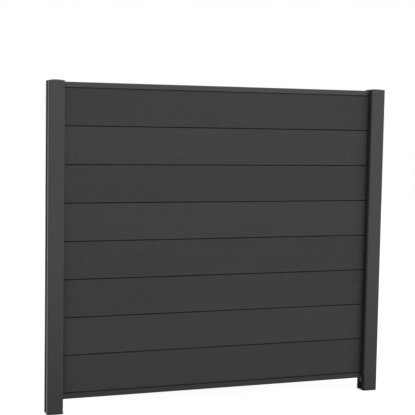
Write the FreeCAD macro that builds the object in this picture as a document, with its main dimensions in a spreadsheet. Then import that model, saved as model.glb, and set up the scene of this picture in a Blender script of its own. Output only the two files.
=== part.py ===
import FreeCAD, Part
import Sketcher
import math
import os

# Garden privacy screen: eight tongue-and-groove boards stacked between two slotted square posts,
# closed by a rail above and a rail below, with a low domed cap on each post.
# Millimetres. +Z up, the front looks along -Y, and the origin is on the ground, midway between
# the posts and midway through their depth.

# ----------------------------------------------------------------------------------------------
# Driving dimensions
# ----------------------------------------------------------------------------------------------
DIMENSIONS = {
    # the whole screen
    "overall_width": 2006.0,        # outside of one post to outside of the other
    "foot_height": 105.0,           # ground to the middle of the joint under the lowest board
    "board_count": 8,
    # posts: square extrusions with a slot down each side
    "post_side": 88.0,
    "post_wall": 2.0,
    "post_corner_radius": 8.0,
    "slot_width": 33.0,             # across the slot, front to back
    "slot_offset": 3.5,             # how far the slots stand behind the middle of the post
    "slot_depth": 26.0,             # into the post
    "slot_lip_radius": 1.0,
    "port_radius": 2.75,            # screw ports in the four corners of the post
    "port_wall": 2.45,
    "port_merge": 0.2,              # how far a port's wall runs into the post's wall
    "chamber_radius": 1.5,
    # boards
    "board_cover": 208.0,           # height from one joint to the next
    "board_thickness": 21.0,
    "board_wall": 5.0,
    "board_engagement": 20.0,       # length of board that stands in each post's slot
    "board_edge_radius": 1.5,
    "joint_gap": 5.0,               # shadow gap between two boards
    "tongue_thickness": 8.0,
    "tongue_height": 14.0,
    "tongue_clearance": 0.4,        # on each face of the tongue
    "tongue_edge_radius": 1.0,
    "cell_count": 5,                # hollow cells along the height of a board
    "cell_web": 5.0,
    "cell_bevel": 2.5,
    # rails
    "rail_height": 28.5,            # height of a rail's face
    "rail_wall": 1.8,
    "rail_slot_clearance": 0.5,     # between the rail and each wall of the post's slot
    "rail_edge_radius": 1.5,
    "top_rail_gap": 0.5,            # between the top rail and the shoulders of the highest board
    "post_above_rail": 1.5,         # how far the posts stand above the top rail
    # seals between the boards and the slot walls
    "seal_setback": 1.5,            # from the mouth of the slot
    "seal_length": 14.0,
    "seal_rib_height": 2.0,
    "seal_rib_width": 2.0,
    "seal_rib_count": 3,
    # blocks that carry the bottom rail
    "support_height": 30.0,
    "support_setback": 3.0,
    "support_clearance": 0.3,
    "support_edge_radius": 2.0,
    # screws, all countersunk
    "screw_radius": 2.0,
    "screw_head_radius": 4.0,
    "screw_clearance": 0.1,         # in a hole that the thread doesn't bite
    "screw_tip": 3.0,               # length of the pointed end
    "drive_radius": 1.6,            # six-sided drive in the head
    "drive_depth": 1.6,
    "rail_screw_edge": 4.5,         # from the end of a rail to its screw
    "rail_screw_bite": 8.0,         # how far the screw goes past the rail's back wall
    "support_screw_bite": 8.0,      # how far the screw goes past the slot's end wall
    # post caps
    "cap_height": 9.5,
    "crown_radius": 150.0,          # of the arcs that shape the cap's top
    "cap_edge_bevel": 0.8,
    "plug_depth": 20.0,
    "plug_wall": 2.0,
    "plug_clearance": 0.2,
    "plug_bevel": 1.2,              # lead-in around the plug's lower end
}
BEYOND = 5.0                        # how far a cutting outline runs past the face that it opens


class Size:
    """A length with its value and with the formula that ties it to the sheet."""

    def __init__(self, value, formula):
        self.value = value
        self.formula = formula

    @staticmethod
    def of(other):
        return other if isinstance(other, Size) else Size(float(other), "%g" % other)

    def __add__(self, other):
        other = Size.of(other)
        return Size(self.value + other.value, "(%s + %s)" % (self.formula, other.formula))

    def __sub__(self, other):
        other = Size.of(other)
        return Size(self.value - other.value, "(%s - %s)" % (self.formula, other.formula))

    def __mul__(self, other):
        other = Size.of(other)
        return Size(self.value * other.value, "(%s * %s)" % (self.formula, other.formula))

    def __truediv__(self, other):
        other = Size.of(other)
        return Size(self.value / other.value, "(%s / %s)" % (self.formula, other.formula))

    def __neg__(self):
        return Size(-self.value, "(-1 * %s)" % self.formula)


def smaller_of(first, second):
    return Size(min(first.value, second.value), "min(%s; %s)" % (first.formula, second.formula))


doc = FreeCAD.newDocument("garden_privacy_screen")
sheet = doc.addObject("Spreadsheet::Sheet", "Sizes")
for row, (alias, number) in enumerate(DIMENSIONS.items(), start=1):
    sheet.set("A%d" % row, alias)
    sheet.set("B%d" % row, "%g" % number)
    sheet.setAlias("B%d" % row, alias)
doc.recompute()


def size(alias):
    return Size(float(sheet.get(alias)), "Sizes.%s" % alias)


ZERO = Size(0.0, "0")
board_count = int(sheet.get("board_count"))
cell_count = int(sheet.get("cell_count"))
seal_rib_count = int(sheet.get("seal_rib_count"))

# sizes that follow from the driving dimensions and are used by several pieces
side = size("post_side")
wall = size("post_wall")
gap = size("joint_gap")
cover = size("board_cover")
slot_middle = side / 2 + size("slot_offset")        # measured from the front of the post
slot_front = slot_middle - size("slot_width") / 2
slot_back = slot_middle + size("slot_width") / 2
groove_depth = size("tongue_height") - gap          # a tongue's tip stands on the groove's floor
groove_width = size("tongue_thickness") + size("tongue_clearance") * 2
channel_depth = size("tongue_height") - size("top_rail_gap")
panel_length = size("overall_width") - side * 2 + size("board_engagement") * 2
top_joint = size("foot_height") + cover * size("board_count")
top_rail_base = top_joint - gap / 2 + size("top_rail_gap")
post_height = top_rail_base + size("rail_height") + size("post_above_rail")
bottom_rail_base = size("foot_height") - gap / 2 - size("rail_height")
rail_depth = size("slot_width") - size("rail_slot_clearance") * 2
head_height = size("screw_head_radius") - size("screw_radius")  # a countersink of 90 degrees


# ----------------------------------------------------------------------------------------------
# Sketch and feature helpers
# ----------------------------------------------------------------------------------------------
def bind(sketch, kind, elements, length):
    """Add a dimension to the sketch and tie it to its formula."""
    index = sketch.addConstraint(Sketcher.Constraint(kind, *elements, length.value))
    sketch.setExpression("Constraints[%d]" % index, length.formula)


def pin_point(sketch, geometry, point, x, y):
    bind(sketch, "DistanceX", (-1, 1, geometry, point), x)
    bind(sketch, "DistanceY", (-1, 1, geometry, point), y)


def add_outline(sketch, corners):
    """Close a straight-sided outline through the corners, each tied to its place."""
    first = sketch.GeometryCount
    points = [FreeCAD.Vector(x.value, y.value, 0) for x, y in corners]
    for start, end in zip(points, points[1:] + points[:1]):
        sketch.addGeometry(Part.LineSegment(start, end), False)
    for index, (x, y) in enumerate(corners):
        before = first + (index - 1) % len(corners)
        sketch.addConstraint(Sketcher.Constraint("Coincident", before, 2, first + index, 1))
        pin_point(sketch, first + index, 1, x, y)


def add_rectangle(sketch, left, low, width, height):
    right = left + width
    high = low + height
    add_outline(sketch, [(left, low), (right, low), (right, high), (left, high)])


def add_bevelled_rectangle(sketch, left, low, width, height, bevel):
    right = left + width
    high = low + height
    add_outline(sketch, [
        (left + bevel, low), (right - bevel, low), (right, low + bevel), (right, high - bevel),
        (right - bevel, high), (left + bevel, high), (left, high - bevel), (left, low + bevel)])


def add_rounded_rectangle(sketch, left, low, width, height, radius):
    """Four sides joined by four tangent arcs of one radius."""
    first = sketch.GeometryCount
    x0, y0, w, d, r = left.value, low.value, width.value, height.value, radius.value
    sides = [((x0 + r, y0), (x0 + w - r, y0)), ((x0 + w, y0 + r), (x0 + w, y0 + d - r)),
             ((x0 + w - r, y0 + d), (x0 + r, y0 + d)), ((x0, y0 + d - r), (x0, y0 + r))]
    centres = [(x0 + w - r, y0 + r), (x0 + w - r, y0 + d - r), (x0 + r, y0 + d - r), (x0 + r, y0 + r)]
    quarter = math.pi / 2
    up = FreeCAD.Vector(0, 0, 1)
    for index in range(4):
        start, end = [FreeCAD.Vector(x, y, 0) for x, y in sides[index]]
        sketch.addGeometry(Part.LineSegment(start, end), False)
        circle = Part.Circle(FreeCAD.Vector(*centres[index], 0), up, r)
        sketch.addGeometry(Part.ArcOfCircle(circle, quarter * (index - 1), quarter * index), False)
    for index in range(4):
        line, arc, following = first + 2 * index, first + 2 * index + 1, first + (2 * index + 2) % 8
        sketch.addConstraint(Sketcher.Constraint("Tangent", line, 2, arc, 1))
        sketch.addConstraint(Sketcher.Constraint("Tangent", arc, 2, following, 1))
        direction = "Vertical" if index % 2 else "Horizontal"
        sketch.addConstraint(Sketcher.Constraint(direction, line))
        if index:
            sketch.addConstraint(Sketcher.Constraint("Equal", first + 1, arc))
    bind(sketch, "Radius", (first + 1,), radius)
    bind(sketch, "DistanceX", (-1, 1, first + 6, 1), left)
    bind(sketch, "DistanceY", (-1, 1, first, 1), low)
    bind(sketch, "DistanceX", (first + 6, 1, first + 2, 1), width)
    bind(sketch, "DistanceY", (first, 1, first + 4, 1), height)


def add_circle(sketch, x, y, radius):
    centre = FreeCAD.Vector(x.value, y.value, 0)
    index = sketch.addGeometry(Part.Circle(centre, FreeCAD.Vector(0, 0, 1), radius.value), False)
    pin_point(sketch, index, 3, x, y)
    bind(sketch, "Radius", (index,), radius)


def new_body(name, x=ZERO, y=ZERO, z=ZERO):
    body = doc.addObject("PartDesign::Body", name)
    body.Label = name
    place(body, x, y, z)
    return body


def place(piece, x, y, z):
    for axis, length in (("x", x), ("y", y), ("z", z)):
        piece.setExpression("Placement.Base.%s" % axis, length.formula)


def new_sketch(body, role, name, offset=ZERO):
    """A sketch on one of the body's own planes, moved along that plane's normal."""
    plane = [item for item in body.Origin.OriginFeatures if item.Role == role][0]
    sketch = body.newObject("Sketcher::SketchObject", body.Name + "_" + name)
    sketch.AttachmentSupport = (plane, [""])
    sketch.MapMode = "FlatFace"
    sketch.setExpression("AttachmentOffset.Base.z", offset.formula)
    return sketch


def volume_of(body):
    doc.recompute()
    return body.Shape.Volume if body.Tip else 0.0


def add_feature(body, kind, name, profile, adds):
    feature = body.newObject("PartDesign::" + kind, body.Name + "_" + name)
    feature.Profile = profile
    profile.Visibility = False
    feature.Reversed = not adds
    return feature


def confirm(body, before, adds):
    after = volume_of(body)
    if (after - before) * (1 if adds else -1) <= 0:
        raise RuntimeError("%s: its last feature changed nothing" % body.Name)


def pad(body, profile, name, length, downward=False):
    before = volume_of(body)
    feature = add_feature(body, "Pad", name, profile, True)
    feature.Reversed = downward
    feature.setExpression("Length", length.formula)
    confirm(body, before, True)
    return feature


def pocket(body, profile, name, length=None):
    """Cut along the sketch's normal, through everything or to a depth."""
    before = volume_of(body)
    feature = add_feature(body, "Pocket", name, profile, False)
    if length is None:
        feature.Type = "ThroughAll"
    else:
        feature.setExpression("Length", length.formula)
    confirm(body, before, False)
    return feature


def repeat_along(body, feature, role, name, pitch, count):
    """Repeat a feature in a row along one of the body's own axes."""
    before = volume_of(body)
    axis = [item for item in body.Origin.OriginFeatures if item.Role == role][0]
    pattern = body.newObject("PartDesign::LinearPattern", body.Name + "_" + name)
    pattern.Originals = [feature]
    pattern.Direction = (axis, [""])
    pattern.Occurrences = count
    pattern.setExpression("Length", (pitch * (count - 1)).formula)
    body.Tip = pattern
    confirm(body, before, feature.TypeId == "PartDesign::Pad")


def chosen_edges(shape, wanted):
    """Names of the edges whose middle point and direction pass the test."""
    names = []
    for index, edge in enumerate(shape.Edges, start=1):
        half_way = (edge.FirstParameter + edge.LastParameter) / 2
        if wanted(edge.valueAt(half_way), edge.tangentAt(half_way)):
            names.append("Edge%d" % index)
    return names


def dress_edges(body, kind, property_name, name, length, wanted):
    doc.recompute()
    base = body.Tip
    dressed = body.newObject("PartDesign::" + kind, body.Name + "_" + name)
    dressed.Base = (base, chosen_edges(base.Shape, wanted))
    dressed.setExpression(property_name, length.formula)
    confirm(body, base.Shape.Volume, False)


def round_edges(body, name, radius, wanted):
    dress_edges(body, "Fillet", "Radius", name, radius, wanted)


def bevel_edges(body, name, length, wanted):
    dress_edges(body, "Chamfer", "Size", name, length, wanted)


def near(value, *targets):
    return any(abs(value - target.value) < 0.01 for target in targets)


# ----------------------------------------------------------------------------------------------
# Posts
# ----------------------------------------------------------------------------------------------
rail_screw_inset = size("board_engagement") - size("rail_screw_edge")
support_screw_height = bottom_rail_base - size("support_height") / 2
bottom_screw_level = size("rail_height") / 2        # above the rail's underside, clear of its webs
top_screw_level = (channel_depth + size("rail_height")) / 2
rail_screw_heights = [bottom_rail_base + bottom_screw_level, top_rail_base + top_screw_level]


def from_inner_face(inner_is_right, distance):
    """Place across the post, measured from the face that looks at the boards."""
    return side - distance if inner_is_right else distance


def make_post(name, left_edge, inner_is_right):
    """Local frame: X and Y from the outer left front corner, Z from the ground."""
    body = new_body(name, left_edge, -(side / 2), ZERO)
    chamber_width = side - wall * 2
    front_depth = slot_front - wall * 2
    back_depth = side - slot_back - wall * 2
    core_left = size("slot_depth") + wall
    core_width = side - core_left * 2

    section = new_sketch(body, "XY_Plane", "section")
    add_rounded_rectangle(section, ZERO, ZERO, side, side, size("post_corner_radius"))
    for low, depth in ((wall, front_depth), (slot_back + wall, back_depth)):
        radius = smaller_of(size("post_corner_radius") - wall, depth * 0.4)
        add_rounded_rectangle(section, wall, low, chamber_width, depth, radius)
    add_rounded_rectangle(section, core_left, slot_front, core_width, size("slot_width"),
                          size("chamber_radius"))
    pad(body, section, "extrusion", post_height)

    port_outer = size("port_radius") + size("port_wall")
    port_near = wall + port_outer - size("port_merge")
    port_far = side - port_near

    def port_circles(outline_name, radius):
        circles = new_sketch(body, "XY_Plane", outline_name)
        for x in (port_near, port_far):
            for y in (port_near, port_far):
                add_circle(circles, x, y, radius)
        return circles

    pad(body, port_circles("port_wall_outlines", port_outer), "port_walls", post_height)

    slots = new_sketch(body, "XY_Plane", "slot_outlines")
    for left in (ZERO - BEYOND, side - size("slot_depth")):
        add_rectangle(slots, left, slot_front, size("slot_depth") + BEYOND, size("slot_width"))
    pocket(body, slots, "slots")
    pocket(body, port_circles("port_outlines", size("port_radius")), "ports")

    def is_slot_lip(point, along):
        on_face = near(point.x, ZERO, side) and near(point.y, slot_front, slot_back)
        return on_face and abs(along.z) > 0.99

    round_edges(body, "slot_lips", size("slot_lip_radius"), is_slot_lip)

    # two countersunk holes through the back flange, one into each rail
    hole_radius = size("screw_radius") + size("screw_clearance")
    back_holes = new_sketch(body, "XZ_Plane", "rail_screw_places", -side)
    for height in rail_screw_heights:
        add_circle(back_holes, from_inner_face(inner_is_right, rail_screw_inset), height, hole_radius)
    pocket(body, back_holes, "rail_screw_holes", side - slot_back + BEYOND)
    for index, height in enumerate(rail_screw_heights):
        countersink(body, "rail_screw_sink_%d" % (index + 1), "Y",
                    (from_inner_face(inner_is_right, rail_screw_inset), side, height))

    # one hole through the end wall of the slot, for the block under the bottom rail
    start = side - size("slot_depth") - wall - BEYOND if inner_is_right else size("slot_depth") - BEYOND
    block_hole = new_sketch(body, "YZ_Plane", "support_screw_place", start)
    add_circle(block_hole, slot_middle, support_screw_height, hole_radius)
    pocket(body, block_hole, "support_screw_hole", wall + BEYOND * 2)
    return body


def countersink(body, name, axis, mouth):
    """Cut the cone that takes a screw's head, from the mouth inwards along -Y or along X."""
    x, y, z = mouth
    before = volume_of(body)
    cone = body.newObject("PartDesign::SubtractiveCone", body.Name + "_" + name)
    cone.setExpression("Radius1", size("screw_head_radius").formula)
    cone.setExpression("Radius2", size("screw_radius").formula)
    cone.setExpression("Height", head_height.formula)
    turns = {"Y": ((1, 0, 0), 90), "-X": ((0, 1, 0), -90), "X": ((0, 1, 0), 90)}
    direction, angle = turns[axis]
    plane = [item for item in body.Origin.OriginFeatures if item.Role == "XY_Plane"][0]
    cone.AttachmentSupport = (plane, [""])
    cone.MapMode = "FlatFace"
    cone.AttachmentOffset = FreeCAD.Placement(FreeCAD.Vector(x.value, y.value, z.value),
                                              FreeCAD.Rotation(FreeCAD.Vector(*direction), angle))
    for letter, length in (("x", x), ("y", y), ("z", z)):
        cone.setExpression("AttachmentOffset.Base.%s" % letter, length.formula)
    confirm(body, before, False)


# ----------------------------------------------------------------------------------------------
# Boards
# ----------------------------------------------------------------------------------------------
panel_left = -(panel_length / 2)
board_front = slot_middle - size("board_thickness") / 2


def make_board(number):
    """Local frame: Y from the front face, Z from the middle of the joint below the board."""
    name = "board_%d" % number
    base = size("foot_height") + cover * (number - 1)
    body = new_body(name, panel_left, board_front - side / 2, base)
    thickness = size("board_thickness")
    middle = thickness / 2
    low = gap / 2
    high = cover - gap / 2
    groove_top = low + groove_depth
    tongue_top = high + size("tongue_height")
    tongue_half = size("tongue_thickness") / 2
    groove_half = groove_width / 2

    section = new_sketch(body, "YZ_Plane", "section")
    add_outline(section, [
        (ZERO, low), (middle - groove_half, low), (middle - groove_half, groove_top),
        (middle + groove_half, groove_top), (middle + groove_half, low), (thickness, low),
        (thickness, high), (middle + tongue_half, high), (middle + tongue_half, tongue_top),
        (middle - tongue_half, tongue_top), (middle - tongue_half, high), (ZERO, high)])
    pad(body, section, "extrusion", panel_length)

    # hollow cells, one above the other, between the groove and the tongue
    cell_low = groove_top + size("board_wall")
    cell_room = high - size("board_wall") - cell_low
    cell_pitch = (cell_room + size("cell_web")) / size("cell_count")
    cell = new_sketch(body, "YZ_Plane", "cell_outline")
    add_bevelled_rectangle(cell, size("board_wall"), cell_low, thickness - size("board_wall") * 2,
                           cell_pitch - size("cell_web"), size("cell_bevel"))
    first_cell = pocket(body, cell, "cell")
    repeat_along(body, first_cell, "Z_Axis", "cells", cell_pitch, cell_count)

    def is_face_edge(point, along):
        return abs(along.x) > 0.99 and near(point.y, ZERO, thickness) and near(point.z, low, high)

    def is_tongue_edge(point, along):
        on_tip = near(point.y, middle - tongue_half, middle + tongue_half) and near(point.z, tongue_top)
        return abs(along.x) > 0.99 and on_tip

    round_edges(body, "face_edges", size("board_edge_radius"), is_face_edge)
    round_edges(body, "tongue_edges", size("tongue_edge_radius"), is_tongue_edge)
    return body


# ----------------------------------------------------------------------------------------------
# Rails
# ----------------------------------------------------------------------------------------------
def start_rail(name, base):
    """Local frame: Y from the rail's front face, Z from its underside."""
    return new_body(name, panel_left, slot_middle - rail_depth / 2 - side / 2, base)


def rail_pilot_holes(body, level):
    """Holes in the back wall, at both ends, for the screws that come through the posts."""
    pilots = new_sketch(body, "XZ_Plane", "pilot_places", -rail_depth)
    for x in (size("rail_screw_edge"), panel_length - size("rail_screw_edge")):
        add_circle(pilots, x, level, size("screw_radius"))
    pocket(body, pilots, "pilot_holes", size("rail_wall") * 2)


def make_bottom_rail():
    """A box section with a hollow tongue, which stands in the lowest board's groove."""
    body = start_rail("bottom_rail", bottom_rail_base)
    height = size("rail_height")
    thick = size("rail_wall")
    middle = rail_depth / 2
    tongue_half = size("tongue_thickness") / 2
    tongue_top = height + size("tongue_height")

    section = new_sketch(body, "YZ_Plane", "section")
    add_outline(section, [
        (ZERO, ZERO), (rail_depth, ZERO), (rail_depth, height), (middle + tongue_half, height),
        (middle + tongue_half, tongue_top), (middle - tongue_half, tongue_top),
        (middle - tongue_half, height), (ZERO, height)])
    add_rectangle(section, middle - tongue_half + thick, height, size("tongue_thickness") - thick * 2,
                  size("tongue_height") - thick)
    chamber = middle - thick * 1.5
    for left in (thick, middle + thick / 2):
        add_rectangle(section, left, thick, chamber, height - thick * 2)
    pad(body, section, "extrusion", panel_length)

    def is_face_edge(point, along):
        return abs(along.x) > 0.99 and near(point.y, ZERO, rail_depth) and near(point.z, ZERO, height)

    round_edges(body, "face_edges", size("rail_edge_radius"), is_face_edge)
    rail_pilot_holes(body, bottom_screw_level)
    return body


def make_top_rail():
    """A box section with a channel underneath, whose floor rests on the highest board's tongue."""
    body = start_rail("top_rail", top_rail_base)
    height = size("rail_height")
    thick = size("rail_wall")
    middle = rail_depth / 2
    channel_half = groove_width / 2
    leg_width = middle - channel_half

    section = new_sketch(body, "YZ_Plane", "section")
    add_outline(section, [
        (ZERO, ZERO), (leg_width, ZERO), (leg_width, channel_depth),
        (middle + channel_half, channel_depth), (middle + channel_half, ZERO), (rail_depth, ZERO),
        (rail_depth, height), (ZERO, height)])
    for left in (thick, middle + channel_half + thick):
        add_rectangle(section, left, thick, leg_width - thick * 2, channel_depth - thick)
    add_rectangle(section, thick, channel_depth + thick, rail_depth - thick * 2,
                  height - channel_depth - thick * 2)
    pad(body, section, "extrusion", panel_length)

    def is_face_edge(point, along):
        return abs(along.x) > 0.99 and near(point.y, ZERO, rail_depth) and near(point.z, ZERO, height)

    round_edges(body, "face_edges", size("rail_edge_radius"), is_face_edge)
    rail_pilot_holes(body, top_screw_level)
    return body


# ----------------------------------------------------------------------------------------------
# Seals between the boards and the walls of the slots
# ----------------------------------------------------------------------------------------------
seal_room = (size("slot_width") - size("board_thickness")) / 2


def make_seal(name, on_left, in_front):
    """A strip with soft ribs that press on the board. It runs from one rail to the other."""
    low = size("foot_height") - gap / 2
    length = top_rail_base - low
    if on_left:
        x = -(size("overall_width") / 2) + side - size("seal_setback") - size("seal_length")
    else:
        x = size("overall_width") / 2 - side + size("seal_setback")
    y = slot_front if in_front else slot_back - seal_room
    body = new_body(name, x, y - side / 2, low)
    rib_height = size("seal_rib_height")
    base = seal_room - rib_height
    base_low = ZERO if in_front else rib_height
    rib_low = base if in_front else ZERO

    strip = new_sketch(body, "XY_Plane", "strip_section")
    add_rectangle(strip, ZERO, base_low, size("seal_length"), base)
    pad(body, strip, "strip", length)
    rib = new_sketch(body, "XY_Plane", "rib_section")
    add_rectangle(rib, ZERO, rib_low, size("seal_rib_width"), rib_height)
    first_rib = pad(body, rib, "rib", length)
    rib_pitch = (size("seal_length") - size("seal_rib_width")) / (size("seal_rib_count") - 1)
    repeat_along(body, first_rib, "X_Axis", "ribs", rib_pitch, seal_rib_count)
    return body


# ----------------------------------------------------------------------------------------------
# Blocks that carry the bottom rail
# ----------------------------------------------------------------------------------------------
block_length = size("slot_depth") - size("support_setback")
block_width = size("slot_width") - size("support_clearance") * 2


def make_support(name, on_left):
    """A block on the slot's end wall, under the rail. Local frame: X from its left end."""
    if on_left:
        x = -(size("overall_width") / 2) + side - size("slot_depth")
    else:
        x = size("overall_width") / 2 - side + size("support_setback")
    y = slot_front + size("support_clearance") - side / 2
    body = new_body(name, x, y, bottom_rail_base - size("support_height"))
    outline = new_sketch(body, "XY_Plane", "outline")
    add_rectangle(outline, ZERO, ZERO, block_length, block_width)
    pad(body, outline, "block", size("support_height"))

    mouth = block_length if on_left else ZERO

    def is_lower_mouth_edge(point, along):
        return near(point.x, mouth) and near(point.z, ZERO)

    round_edges(body, "mouth_edge", size("support_edge_radius"), is_lower_mouth_edge)
    hole = new_sketch(body, "YZ_Plane", "screw_place", ZERO - BEYOND)
    add_circle(hole, block_width / 2, size("support_height") / 2,
               size("screw_radius") + size("screw_clearance"))
    pocket(body, hole, "screw_hole", block_length + BEYOND * 2)
    countersink(body, "screw_sink", "-X" if on_left else "X",
                (mouth, block_width / 2, size("support_height") / 2))
    return body


# ----------------------------------------------------------------------------------------------
# Screws
# ----------------------------------------------------------------------------------------------
def make_screw(name, length, x, y, z, axis, angle):
    """Local frame: the head's flat top at the origin, the point towards -Z."""
    body = new_body(name, x, y, z)
    body.Placement = FreeCAD.Placement(FreeCAD.Vector(x.value, y.value, z.value),
                                       FreeCAD.Rotation(FreeCAD.Vector(*axis), angle))
    place(body, x, y, z)
    head = size("screw_head_radius")
    shank = size("screw_radius")
    profile = new_sketch(body, "XZ_Plane", "half_section")
    add_outline(profile, [(ZERO, ZERO), (head, ZERO), (shank, -head_height),
                          (shank, size("screw_tip") - length), (ZERO, -length)])
    turned = add_feature(body, "Revolution", "turned", profile, True)
    turned.ReferenceAxis = (profile, ["V_Axis"])
    turned.Angle = 360
    confirm(body, 0.0, True)

    drive = new_sketch(body, "XY_Plane", "drive_outline", -size("drive_depth"))
    reach = size("drive_radius")
    half = reach / 2
    across = reach * (math.sqrt(3) / 2)
    add_outline(drive, [(reach, ZERO), (half, across), (-half, across), (-reach, ZERO),
                        (-half, -across), (half, -across)])
    pocket(body, drive, "drive", size("drive_depth") + BEYOND)
    return body


def group(name, pieces):
    compound = doc.addObject("Part::Compound", name)
    compound.Label = name
    compound.Links = pieces
    return compound


def make_rail_screws():
    """Four screws from the back of the posts into the ends of the two rails."""
    rail_back = slot_middle + rail_depth / 2
    length = side - rail_back + size("rail_wall") + size("rail_screw_bite")
    outward = size("overall_width") / 2 - side + rail_screw_inset
    screws = []
    for label, x in (("left", -outward), ("right", outward)):
        for level, height in zip(("bottom", "top"), rail_screw_heights):
            name = "rail_screw_%s_%s" % (label, level)
            screws.append(make_screw(name, length, x, side / 2, height, (1, 0, 0), -90))
    return group("rail_screws", screws)


def make_support_screws():
    """One screw through each block into the end wall of the slot."""
    length = block_length + wall + size("support_screw_bite")
    mouth = size("overall_width") / 2 - side + size("support_setback")
    screws = []
    for label, x, angle in (("left", -mouth, 90), ("right", mouth, -90)):
        screws.append(make_screw("support_screw_" + label, length, x, slot_middle - side / 2,
                                 support_screw_height, (0, 1, 0), angle))
    return group("support_screws", screws)


# ----------------------------------------------------------------------------------------------
# Post caps
# ----------------------------------------------------------------------------------------------
def add_crown_outline(sketch):
    """What is cut away above a wide arc that peaks on the cap's middle."""
    reach = side / 2 + BEYOND
    apex = size("cap_height")
    radius = size("crown_radius")
    ceiling = apex + BEYOND
    drop = radius.value - math.sqrt(radius.value ** 2 - reach.value ** 2)
    left_end = FreeCAD.Vector(-reach.value, apex.value - drop, 0)
    right_end = FreeCAD.Vector(reach.value, apex.value - drop, 0)
    left_top = FreeCAD.Vector(-reach.value, ceiling.value, 0)
    right_top = FreeCAD.Vector(reach.value, ceiling.value, 0)
    arc = Part.Arc(right_end, FreeCAD.Vector(0, apex.value, 0), left_end)
    sketch.addGeometry([arc, Part.LineSegment(left_end, left_top),
                        Part.LineSegment(left_top, right_top),
                        Part.LineSegment(right_top, right_end)], False)
    for first, first_end, second, second_end in ((0, 2, 1, 1), (1, 2, 2, 1), (2, 2, 3, 1), (3, 2, 0, 1)):
        sketch.addConstraint(Sketcher.Constraint("Coincident", first, first_end, second, second_end))
    bind(sketch, "Radius", (0,), radius)
    sketch.addConstraint(Sketcher.Constraint("PointOnObject", 0, 3, -2))
    bind(sketch, "DistanceY", (0, 3, -1, 1), radius - apex)
    pin_point(sketch, 1, 2, -reach, ceiling)
    pin_point(sketch, 2, 2, reach, ceiling)
    sketch.addConstraint(Sketcher.Constraint("Vertical", 1))
    sketch.addConstraint(Sketcher.Constraint("Vertical", 3))


def make_cap(name, centre_x):
    """A low dome with a hollow plug. Local frame: centred on the post, Z from the post's top."""
    body = new_body(name, centre_x, ZERO, post_height)
    half = side / 2
    outline = new_sketch(body, "XY_Plane", "outline")
    add_rounded_rectangle(outline, -half, -half, side, side, size("post_corner_radius"))
    pad(body, outline, "plate", size("cap_height"))

    # two wide arcs, one seen from the front and one from the side, leave a low dome
    for role, view in (("XZ_Plane", "front"), ("YZ_Plane", "side")):
        crown = new_sketch(body, role, "crown_from_" + view)
        add_crown_outline(crown)
        before = volume_of(body)
        cut = add_feature(body, "Pocket", "crown_" + view, crown, False)
        cut.Type = "ThroughAll"
        cut.Midplane = True
        confirm(body, before, False)

    def is_rim(point, along):
        on_side = max(abs(point.x), abs(point.y)) > half.value - size("post_corner_radius").value / 2
        return on_side and point.z > 0.5 and abs(along.z) < 0.9

    bevel_edges(body, "rim", size("cap_edge_bevel"), is_rim)

    # the plug goes down into the middle chamber of the post
    free = size("plug_clearance")
    plug_left = size("slot_depth") + wall + free - half
    plug_front = slot_front + free - half
    plug_width = side - (size("slot_depth") + wall + free) * 2
    plug_depth_y = size("slot_width") - free * 2
    thick = size("plug_wall")
    plug = new_sketch(body, "XY_Plane", "plug_outline")
    add_rounded_rectangle(plug, plug_left, plug_front, plug_width, plug_depth_y, size("chamber_radius"))
    add_rectangle(plug, plug_left + thick, plug_front + thick, plug_width - thick * 2,
                  plug_depth_y - thick * 2)
    pad(body, plug, "plug", size("plug_depth"), downward=True)

    def is_lead_in(point, along):
        at_end = near(point.z, -size("plug_depth")) and abs(along.z) < 0.1
        inside = abs(point.x) < -(plug_left + thick / 2).value and (
            plug_front + thick / 2).value < point.y < (plug_front + plug_depth_y - thick / 2).value
        return at_end and not inside

    bevel_edges(body, "lead_in", size("plug_bevel"), is_lead_in)
    return body


# ----------------------------------------------------------------------------------------------
# The screen
# ----------------------------------------------------------------------------------------------
half_width = size("overall_width") / 2
pieces = [
    make_post("left_post", -half_width, True),
    make_post("right_post", half_width - side, False),
    make_cap("left_post_cap", side / 2 - half_width),
    make_cap("right_post_cap", half_width - side / 2),
    make_bottom_rail(),
    make_top_rail(),
    make_seal("left_front_seal", True, True),
    make_seal("left_back_seal", True, False),
    make_seal("right_front_seal", False, True),
    make_seal("right_back_seal", False, False),
    make_support("left_rail_support", True),
    make_support("right_rail_support", False),
    make_rail_screws(),
    make_support_screws(),
]
pieces += [make_board(number) for number in range(1, board_count + 1)]
doc.recompute()

for item in doc.Objects:
    if "Invalid" in item.State or "Error" in item.State:
        raise RuntimeError("%s failed: %s" % (item.Name, item.State))
for piece in pieces:
    if piece.Shape.isNull() or not piece.Shape.isValid():
        raise RuntimeError("%s has no valid shape" % piece.Label)

os.makedirs("parts", exist_ok=True)
for piece in pieces:
    piece.Shape.exportStep("parts/%s.step" % piece.Label)
    box = piece.Shape.BoundBox
    print("%-20s %d solid(s), %9.1f cm3, X %8.1f %8.1f  Y %6.1f %6.1f  Z %7.1f %7.1f" % (
        piece.Label, len(piece.Shape.Solids), piece.Shape.Volume / 1000,
        box.XMin, box.XMax, box.YMin, box.YMax, box.ZMin, box.ZMax))
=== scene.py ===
# %% [markdown]
# # A garden privacy screen
#
# Eight wide boards stand on edge, one on the other, between two slotted square posts.
# A slim rail closes the stack below and above, and each post ends in a low domed cap.
#
# The construction comes ready made: every board, post, rail and cap is loaded at full size.
# What is left to do here is what a finisher and a photographer would do, which is to give each
# piece its surface, cut real threads on the screws, and set up light and camera. Every number
# below is in metres unless its name says otherwise.
#
# One pixel of the photograph covers more than five millimetres of the screen. So it can't show
# the fine grain of a surface, and it doesn't say for certain what the pieces are made of. Both
# follow how screens of this sort are usually made.

# %% Load the construction
import math

import bpy
from mathutils import Matrix, Vector


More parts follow.
